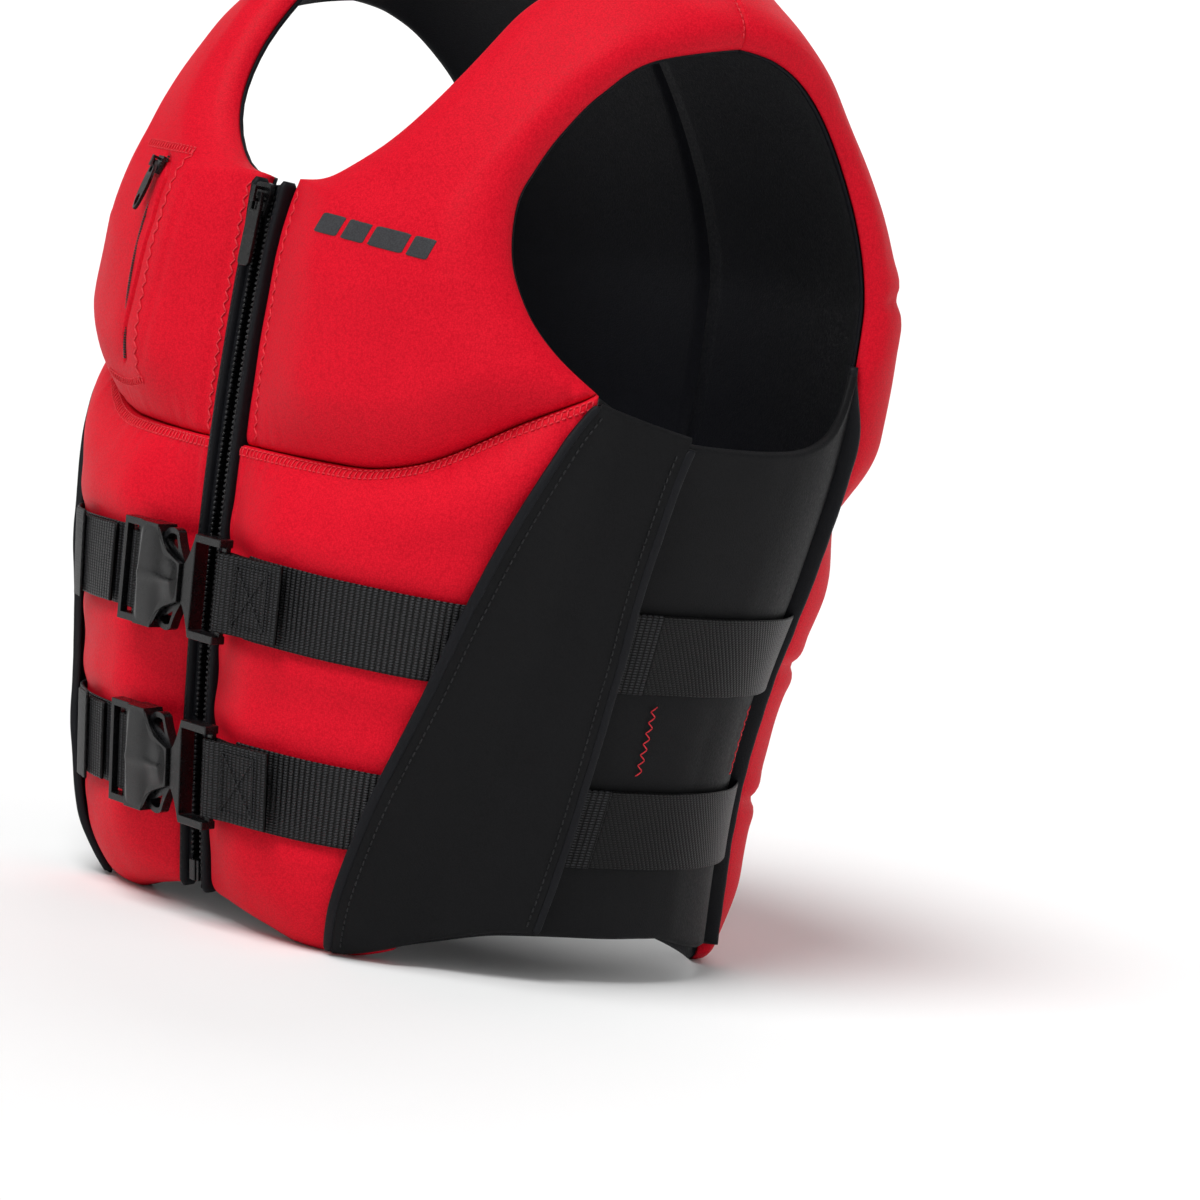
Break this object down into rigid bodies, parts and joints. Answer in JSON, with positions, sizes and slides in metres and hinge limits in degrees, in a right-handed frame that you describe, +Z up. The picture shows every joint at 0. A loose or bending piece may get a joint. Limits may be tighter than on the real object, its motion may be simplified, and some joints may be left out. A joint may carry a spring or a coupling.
{
  "type": "life jacket",
  "caption": "Neoprene buoyancy vest with a full front zip, two webbing straps with side-release buckles, a zipped chest pocket and wrap-around side wings.",
  "frame": {"origin": "on the floor under the middle of the vest's box, the vest standing upright on its hem as it is worn", "axes": "+Z up, +X towards the wearer's left, -Y out of the wearer's front"},
  "size_m": [0.3964, 0.3298, 0.4845],
  "materials": {
    "red_neoprene": "matt stretch knit laminated on neoprene, saturated red",
    "black_neoprene": "smooth matt black neoprene",
    "binding_tape": "folded blue-black edge tape with a running stitch",
    "lining": "dark navy-black knit lining",
    "foam": "closed-cell foam, hidden inside",
    "webbing": "coarse woven black webbing",
    "buckle_plastic": "fine-textured satin black moulding",
    "zip_plastic": "satin black moulding",
    "zip_metal": "black enamelled die casting"
  },
  "bodies": {
    "vest": {"left_chest_cover": "red_neoprene", "left_belly_cover": "red_neoprene", "left_chest_foam": "foam", "left_belly_foam": "foam", "left_front_liner": "lining", "left_side_panel": "black_neoprene", "left_side_wing": "black_neoprene", "left_wing_front_binding": "binding_tape", "left_wing_rear_binding": "binding_tape", "left_back_binding": "binding_tape", "left_zip_binding": "binding_tape", "left_zip_tape": "binding_tape", "left_zip_teeth": "zip_plastic", "left_upper_strap": "webbing", "left_lower_strap": "webbing", "right_chest_cover": "red_neoprene", "right_belly_cover": "red_neoprene", "right_chest_foam": "foam", "right_belly_foam": "foam", "right_front_liner": "lining", "right_side_panel": "black_neoprene", "right_side_wing": "black_neoprene", "right_wing_front_binding": "binding_tape", "right_wing_rear_binding": "binding_tape", "right_back_binding": "binding_tape", "right_zip_binding": "binding_tape", "right_zip_tape": "binding_tape", "right_zip_teeth": "zip_plastic", "right_upper_strap": "webbing", "right_lower_strap": "webbing", "back_upper_cover": "red_neoprene", "back_lower_cover": "red_neoprene", "back_upper_foam": "foam", "back_lower_foam": "foam", "back_liner": "lining", "pocket_bag": "lining", "zip_guard": "black_neoprene", "zip_box": "zip_plastic", "zip_pin": "zip_plastic", "pocket_coil": "zip_plastic", "upper_receptacle": "buckle_plastic", "upper_ladder_webbing": "webbing", "upper_strap_tail": "webbing", "upper_strap_keeper": "webbing", "lower_receptacle": "buckle_plastic", "lower_ladder_webbing": "webbing", "lower_strap_tail": "webbing", "lower_strap_keeper": "webbing"},
    "main_slider": {"main_slider": "zip_metal"},
    "main_pull": {"main_pull": "zip_plastic"},
    "pocket_slider": {"pocket_slider": "zip_metal"},
    "pocket_pull": {"pocket_pull": "zip_metal"},
    "upper_plug": {"upper_plug": "buckle_plastic", "upper_plug_webbing": "webbing"},
    "upper_latch_top": {"upper_latch_top": "buckle_plastic"},
    "upper_latch_bottom": {"upper_latch_bottom": "buckle_plastic"},
    "lower_plug": {"lower_plug": "buckle_plastic", "lower_plug_webbing": "webbing"},
    "lower_latch_top": {"lower_latch_top": "buckle_plastic"},
    "lower_latch_bottom": {"lower_latch_bottom": "buckle_plastic"}
  },
  "joints": [
    {"name": "zip_travel", "type": "hinge", "parent": "vest", "child": "main_slider", "pos_m": [0, 1.14091, 0.21], "axis": [1, 0, 0], "range_deg": [0, 13.6]},
    {"name": "zip_pull_swing", "type": "hinge", "parent": "main_slider", "child": "main_pull", "pos_m": [0, -0.14023, 0.34179], "axis": [-1, 0, 0], "range_deg": [0, 105]},
    {"name": "pocket_travel", "type": "hinge", "parent": "vest", "child": "pocket_slider", "pos_m": [-0.04888, 0.04146, 0.28465], "axis": [0.9797, -0.1997, -0.0193], "range_deg": [0, 26.2]},
    {"name": "pocket_pull_swing", "type": "hinge", "parent": "pocket_slider", "child": "pocket_pull", "pos_m": [-0.08497, -0.14166, 0.34795], "axis": [-0.9797, 0.1997, 0.0193], "range_deg": [0, 160]},
    {"name": "upper_buckle_release", "type": "slide", "parent": "vest", "child": "upper_plug", "axis": [1, 0, 0], "range_m": [0, 0.034]},
    {"name": "upper_latch_top_press", "type": "hinge", "parent": "upper_plug", "child": "upper_latch_top", "pos_m": [0.0088, -0.15876, 0.1659], "axis": [0, -0.9992, -0.0394], "range_deg": [0, 5], "stiffness_Nm_per_rad": 0.05},
    {"name": "upper_latch_bottom_press", "type": "hinge", "parent": "upper_plug", "child": "upper_latch_bottom", "pos_m": [0.0088, -0.15821, 0.15171], "axis": [0, -0.9992, -0.0394], "range_deg": [-5, 0], "stiffness_Nm_per_rad": 0.05},
    {"name": "lower_buckle_release", "type": "slide", "parent": "vest", "child": "lower_plug", "axis": [1, 0, 0], "range_m": [0, 0.034]},
    {"name": "lower_latch_top_press", "type": "hinge", "parent": "lower_plug", "child": "lower_latch_top", "pos_m": [0.0088, -0.15288, 0.07883], "axis": [0, -0.9943, -0.1063], "range_deg": [0, 5], "stiffness_Nm_per_rad": 0.05},
    {"name": "lower_latch_bottom_press", "type": "hinge", "parent": "lower_plug", "child": "lower_latch_bottom", "pos_m": [0.0088, -0.15137, 0.06471], "axis": [0, -0.9943, -0.1063], "range_deg": [-5, 0], "stiffness_Nm_per_rad": 0.05}
  ],
  "couplings": [
    {"joint": "upper_latch_bottom_press", "follows": "upper_latch_top_press", "ratio": -1},
    {"joint": "lower_latch_bottom_press", "follows": "lower_latch_top_press", "ratio": -1}
  ]
}
